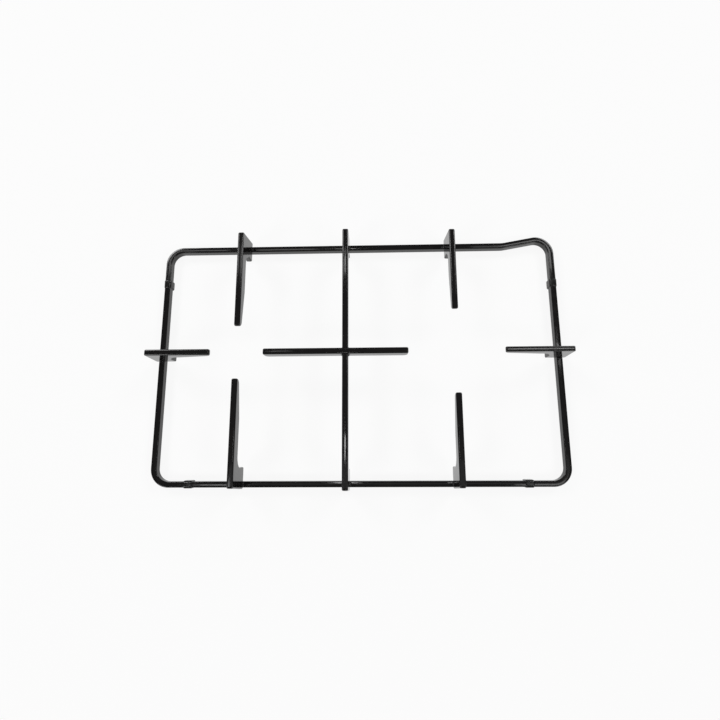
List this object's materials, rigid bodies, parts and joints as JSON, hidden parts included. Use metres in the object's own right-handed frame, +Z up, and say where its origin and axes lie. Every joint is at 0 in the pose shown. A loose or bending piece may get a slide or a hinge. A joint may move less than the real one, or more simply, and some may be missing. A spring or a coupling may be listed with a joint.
{
  "type": "hob pan support",
  "caption": "Black enamelled steel pan support for a gas hob: a frame of bent rectangular rod with upright flat blades that reach in over two burners, standing on rubber sleeves.",
  "frame": {"origin": "under the middle of the whole support, on the hob surface that the sleeve pads stand on", "axes": "+X to the right along the frame's long side, +Y to the rear, towards the rail with the kicked end, +Z up"},
  "size_m": [0.4518, 0.2814, 0.0481],
  "materials": {
    "enamel": "glossy black vitreous enamel on steel",
    "rubber": "matt black heat-resistant rubber"
  },
  "bodies": {
    "root": {"perimeter_rod": "enamel", "centre_bar": "enamel", "cross_bar": "enamel", "finger_left": "enamel", "finger_right": "enamel", "finger_rear_left": "enamel", "finger_front_left": "enamel", "finger_rear_right": "enamel", "finger_front_right": "enamel", "foot_sleeve_left": "rubber", "foot_sleeve_right": "rubber", "foot_sleeve_front_left": "rubber", "foot_sleeve_front_right": "rubber"}
  },
  "joints": []
}
